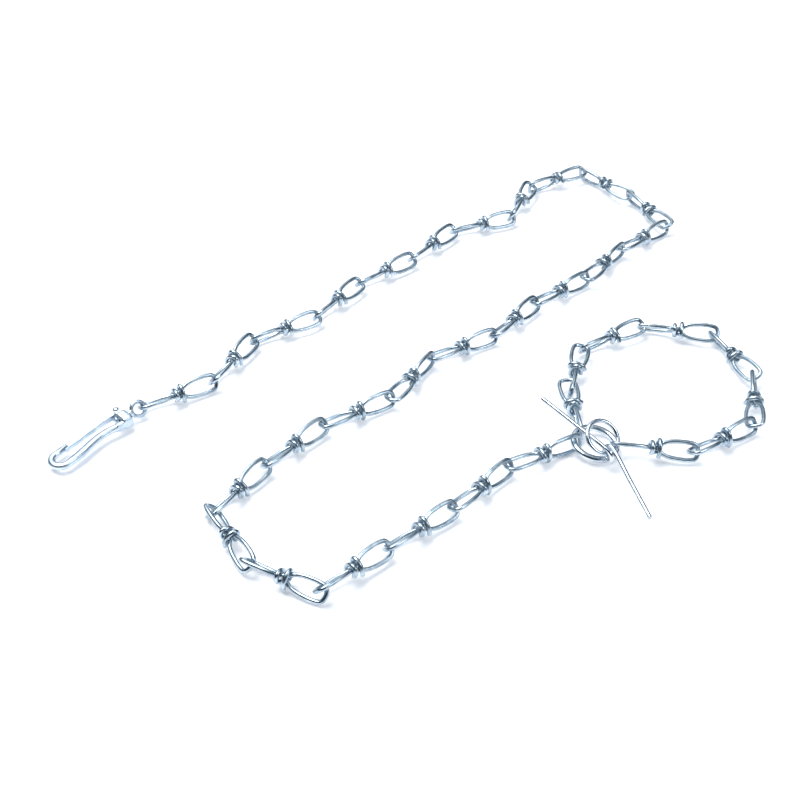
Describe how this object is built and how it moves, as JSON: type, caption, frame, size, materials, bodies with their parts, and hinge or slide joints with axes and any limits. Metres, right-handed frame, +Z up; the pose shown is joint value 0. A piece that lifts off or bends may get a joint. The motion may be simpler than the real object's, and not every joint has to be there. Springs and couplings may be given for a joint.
{
  "type": "knotted tether chain",
  "caption": "Knotted double-loop wire tether chain laid in an S, with a swivel spring snap hook at one end and a ring, neck loop and toggle at the other.",
  "frame": {"origin": "centre of the bounding box in plan, on the plane the chain lies on", "axes": "+Z up from the plane the chain lies on, +Y along the longer side of the lay from the hook side towards the far bend, +X from the snap hook towards the neck loop"},
  "size_m": [0.3806, 0.3919, 0.0226],
  "materials": {
    "zinc_wire": "bright zinc-plated drawn steel wire",
    "bright_ring": "bright zinc-plated steel, smoother than the links",
    "plated_hook": "zinc-plated cast steel, softly rounded",
    "spring_steel": "plated flat spring strip"
  },
  "bodies": {
    "coupling_ring": {"coupling_ring": "bright_ring"},
    "chain_link_01": {"chain_link_01": "zinc_wire"},
    "chain_link_02": {"chain_link_02": "zinc_wire"},
    "chain_link_03": {"chain_link_03": "zinc_wire"},
    "chain_link_04": {"chain_link_04": "zinc_wire"},
    "chain_link_05": {"chain_link_05": "zinc_wire"},
    "chain_link_06": {"chain_link_06": "zinc_wire"},
    "chain_link_07": {"chain_link_07": "zinc_wire"},
    "chain_link_08": {"chain_link_08": "zinc_wire"},
    "chain_link_09": {"chain_link_09": "zinc_wire"},
    "chain_link_10": {"chain_link_10": "zinc_wire"},
    "chain_link_11": {"chain_link_11": "zinc_wire"},
    "chain_link_12": {"chain_link_12": "zinc_wire"},
    "chain_link_13": {"chain_link_13": "zinc_wire"},
    "chain_link_14": {"chain_link_14": "zinc_wire"},
    "chain_link_15": {"chain_link_15": "zinc_wire"},
    "chain_link_16": {"chain_link_16": "zinc_wire"},
    "chain_link_17": {"chain_link_17": "zinc_wire"},
    "chain_link_18": {"chain_link_18": "zinc_wire"},
    "chain_link_19": {"chain_link_19": "zinc_wire"},
    "chain_link_20": {"chain_link_20": "zinc_wire"},
    "chain_link_21": {"chain_link_21": "zinc_wire"},
    "chain_link_22": {"chain_link_22": "zinc_wire"},
    "chain_link_23": {"chain_link_23": "zinc_wire"},
    "chain_link_24": {"chain_link_24": "zinc_wire"},
    "chain_link_25": {"chain_link_25": "zinc_wire"},
    "chain_link_26": {"chain_link_26": "zinc_wire"},
    "gate_spring": {"gate_spring": "spring_steel"},
    "hook_body": {"gate_pin": "bright_ring", "hook_body": "plated_hook"},
    "neck_link_1": {"neck_link_1": "zinc_wire"},
    "neck_link_2": {"neck_link_2": "zinc_wire"},
    "neck_link_3": {"neck_link_3": "zinc_wire"},
    "neck_link_4": {"neck_link_4": "zinc_wire"},
    "neck_link_5": {"neck_link_5": "zinc_wire"},
    "neck_link_6": {"neck_link_6": "zinc_wire"},
    "neck_link_7": {"neck_link_7": "zinc_wire"},
    "neck_link_8": {"neck_link_8": "zinc_wire"},
    "swivel_eye": {"swivel_eye": "plated_hook"},
    "toggle_bar": {"toggle_bar": "bright_ring"},
    "toggle_ring": {"toggle_ring": "bright_ring"}
  },
  "joints": [
    {"name": "chain_link_01_hinge", "type": "hinge", "parent": "chain_link_02", "child": "chain_link_01", "pos_m": [-0.1107, -0.03736, 0.00622], "axis": [0.2587, -0.4279, -0.866], "range_deg": [-60, 60]},
    {"name": "chain_link_02_hinge", "type": "hinge", "parent": "chain_link_03", "child": "chain_link_02", "pos_m": [-0.09446, -0.00143, 0.00623], "axis": [0.2705, -0.4205, 0.866], "range_deg": [-60, 60]},
    {"name": "chain_link_03_hinge", "type": "hinge", "parent": "chain_link_04", "child": "chain_link_03", "pos_m": [-0.0568, 0.02303, 0.00634], "axis": [-0.4727, 0.7256, 0.5], "range_deg": [-60, 60]},
    {"name": "chain_link_04_hinge", "type": "hinge", "parent": "chain_link_05", "child": "chain_link_04", "pos_m": [-0.03515, 0.05584, 0.00641], "axis": [-0.4539, 0.5422, -0.7071], "range_deg": [-60, 60]},
    {"name": "chain_link_05_hinge", "type": "hinge", "parent": "chain_link_06", "child": "chain_link_05", "pos_m": [-0.00075, 0.0847, 0.00647], "axis": [0.4552, -0.5411, -0.7071], "range_deg": [-60, 60]},
    {"name": "chain_link_06_hinge", "type": "hinge", "parent": "chain_link_07", "child": "chain_link_06", "pos_m": [0.02323, 0.11584, 0.00624], "axis": [0.2789, -0.6498, 0.7071], "range_deg": [-60, 60]},
    {"name": "chain_link_07_hinge", "type": "hinge", "parent": "chain_link_08", "child": "chain_link_07", "pos_m": [0.06456, 0.13338, 0.00606], "axis": [-0.2737, 0.652, 0.7071], "range_deg": [-60, 60]},
    {"name": "chain_link_08_hinge", "type": "hinge", "parent": "chain_link_09", "child": "chain_link_08", "pos_m": [0.07751, 0.16998, 0.00614], "axis": [-0.1057, 0.2378, -0.9655], "range_deg": [-60, 60]},
    {"name": "chain_link_09_hinge", "type": "hinge", "parent": "chain_link_10", "child": "chain_link_09", "pos_m": [0.11638, 0.19242, 0.00741], "axis": [0.4893, -0.8328, -0.2587], "range_deg": [-30, 50]},
    {"name": "chain_link_10_hinge", "type": "hinge", "parent": "chain_link_11", "child": "chain_link_10", "pos_m": [0.14229, 0.16034, 0.0065], "axis": [-0.3118, -0.142, 0.9395], "range_deg": [-60, 60]},
    {"name": "chain_link_11_hinge", "type": "hinge", "parent": "chain_link_12", "child": "chain_link_11", "pos_m": [0.16336, 0.1207, 0.0075], "axis": [0.8261, 0.4479, 0.3419], "range_deg": [-55, 30]},
    {"name": "chain_link_12_hinge", "type": "hinge", "parent": "chain_link_13", "child": "chain_link_12", "pos_m": [0.13092, 0.09627, 0.00667], "axis": [0.0687, -0.0536, -0.9962], "range_deg": [-10, 60]},
    {"name": "chain_link_13_hinge", "type": "hinge", "parent": "chain_link_14", "child": "chain_link_13", "pos_m": [0.10328, 0.06089, 0.00667], "axis": [-0.785, 0.6133, -0.0872], "range_deg": [-60, 60]},
    {"name": "chain_link_14_hinge", "type": "hinge", "parent": "chain_link_15", "child": "chain_link_14", "pos_m": [0.0719, 0.03739, 0.00673], "axis": [-0.4448, 0.3622, 0.8192], "range_deg": [-60, 60]},
    {"name": "chain_link_15_hinge", "type": "hinge", "parent": "chain_link_16", "child": "chain_link_15", "pos_m": [0.04364, 0.0025, 0.00682], "axis": [0.6373, -0.5147, 0.5736], "range_deg": [-60, 60]},
    {"name": "chain_link_16_hinge", "type": "hinge", "parent": "chain_link_17", "child": "chain_link_16", "pos_m": [0.00919, -0.01636, 0.00675], "axis": [0.0742, -0.0458, -0.9962], "range_deg": [-25, 20]},
    {"name": "chain_link_17_hinge", "type": "hinge", "parent": "chain_link_18", "child": "chain_link_17", "pos_m": [-0.0146, -0.05443, 0.00673], "axis": [-0.8448, 0.5279, -0.0872], "range_deg": [-60, 60]},
    {"name": "chain_link_18_hinge", "type": "hinge", "parent": "chain_link_19", "child": "chain_link_18", "pos_m": [-0.04875, -0.07414, 0.00676], "axis": [-0.4301, 0.3795, 0.8191], "range_deg": [-60, 60]},
    {"name": "chain_link_19_hinge", "type": "hinge", "parent": "chain_link_20", "child": "chain_link_19", "pos_m": [-0.07879, -0.1075, 0.00644], "axis": [0.606, -0.5511, 0.5736], "range_deg": [-60, 60]},
    {"name": "chain_link_20_hinge", "type": "hinge", "parent": "chain_link_21", "child": "chain_link_20", "pos_m": [-0.10263, -0.13779, 0.00825], "axis": [0.5852, 0.399, -0.7059], "range_deg": [-60, 10]},
    {"name": "chain_link_21_hinge", "type": "hinge", "parent": "chain_link_22", "child": "chain_link_21", "pos_m": [-0.07954, -0.17622, 0.00568], "axis": [-0.627, -0.3294, -0.7059], "range_deg": [-60, 60]},
    {"name": "chain_link_22_hinge", "type": "hinge", "parent": "chain_link_23", "child": "chain_link_22", "pos_m": [-0.04749, -0.19371, 0.00833], "axis": [0.4931, -0.5075, 0.7066], "range_deg": [-15, 60]},
    {"name": "chain_link_23_hinge", "type": "hinge", "parent": "chain_link_24", "child": "chain_link_23", "pos_m": [-0.01415, -0.16369, 0.00662], "axis": [-0.4532, 0.5435, 0.7066], "range_deg": [-60, 60]},
    {"name": "chain_link_24_hinge", "type": "hinge", "parent": "chain_link_25", "child": "chain_link_24", "pos_m": [0.01598, -0.13875, 0.00667], "axis": [-0.6516, 0.6299, -0.4226], "range_deg": [-60, 60]},
    {"name": "chain_link_25_hinge", "type": "hinge", "parent": "chain_link_26", "child": "chain_link_25", "pos_m": [0.04717, -0.10645, 0.00672], "axis": [0.3048, -0.2928, -0.9063], "range_deg": [-60, 60]},
    {"name": "chain_link_26_hinge", "type": "hinge", "parent": "coupling_ring", "child": "chain_link_26", "pos_m": [0.08081, -0.08696, 0.00558], "axis": [0.0296, -0.9974, -0.065], "range_deg": [-60, 60]},
    {"name": "gate_hinge", "type": "hinge", "parent": "hook_body", "child": "gate_spring", "pos_m": [-0.16045, -0.06548, 0.00608], "axis": [-0.0332, -0.0309, 0.999], "range_deg": [0, 9], "stiffness_Nm_per_rad": 0.1, "springref_deg": -20.05},
    {"name": "hook_swivel", "type": "hinge", "parent": "swivel_eye", "child": "hook_body", "pos_m": [-0.14958, -0.06191, 0.00655], "axis": [-0.7306, -0.6813, -0.0454], "continuous": true},
    {"name": "neck_link_1_hinge", "type": "hinge", "parent": "coupling_ring", "child": "neck_link_1", "pos_m": [0.0828, -0.08004, 0.00566], "axis": [-0.5557, -0.8303, 0.042], "range_deg": [0, 45]},
    {"name": "neck_link_2_hinge", "type": "hinge", "parent": "neck_link_1", "child": "neck_link_2", "pos_m": [0.08285, -0.05014, 0.00651], "axis": [-0.1662, 0.0513, -0.9848], "range_deg": [-60, 30]},
    {"name": "neck_link_3_hinge", "type": "hinge", "parent": "neck_link_2", "child": "neck_link_3", "pos_m": [0.09371, -0.00658, 0.00695], "axis": [0.956, -0.2366, -0.1736], "range_deg": [-60, 0]},
    {"name": "neck_link_4_hinge", "type": "hinge", "parent": "neck_link_3", "child": "neck_link_4", "pos_m": [0.12876, 0.01301, 0.00605], "axis": [-0.1597, -0.6232, 0.7656], "range_deg": [-10, 60]},
    {"name": "neck_link_5_hinge", "type": "hinge", "parent": "neck_link_4", "child": "neck_link_5", "pos_m": [0.17265, 0.00368, 0.00762], "axis": [0.1374, 0.754, 0.6424], "range_deg": [0, 50]},
    {"name": "neck_link_6_hinge", "type": "hinge", "parent": "neck_link_5", "child": "neck_link_6", "pos_m": [0.18584, -0.03251, 0.0062], "axis": [0.2999, -0.0769, -0.9509], "range_deg": [-60, 0]},
    {"name": "neck_link_7_hinge", "type": "hinge", "parent": "neck_link_6", "child": "neck_link_7", "pos_m": [0.17728, -0.07657, 0.00706], "axis": [-0.9347, 0.1756, -0.309], "range_deg": [-5, 45]},
    {"name": "neck_link_8_hinge", "type": "hinge", "parent": "neck_link_7", "child": "neck_link_8", "pos_m": [0.14395, -0.09619, 0.00594], "axis": [0.1105, 0.6393, 0.761], "range_deg": [0, 60]},
    {"name": "swivel_eye_hinge", "type": "hinge", "parent": "chain_link_01", "child": "swivel_eye", "pos_m": [-0.14877, -0.06116, 0.0066], "axis": [0.4625, -0.7322, 0.5], "range_deg": [-60, 60]},
    {"name": "toggle_bar_hinge", "type": "hinge", "parent": "toggle_ring", "child": "toggle_bar", "pos_m": [0.09687, -0.10127, 0.00962], "axis": [0.8754, 0.4568, -0.1582], "range_deg": [-10, 0]},
    {"name": "toggle_ring_hinge", "type": "hinge", "parent": "neck_link_8", "child": "toggle_ring", "pos_m": [0.09938, -0.09464, 0.0111], "axis": [0.0472, -0.7682, 0.6385], "range_deg": [-60, 15]}
  ]
}
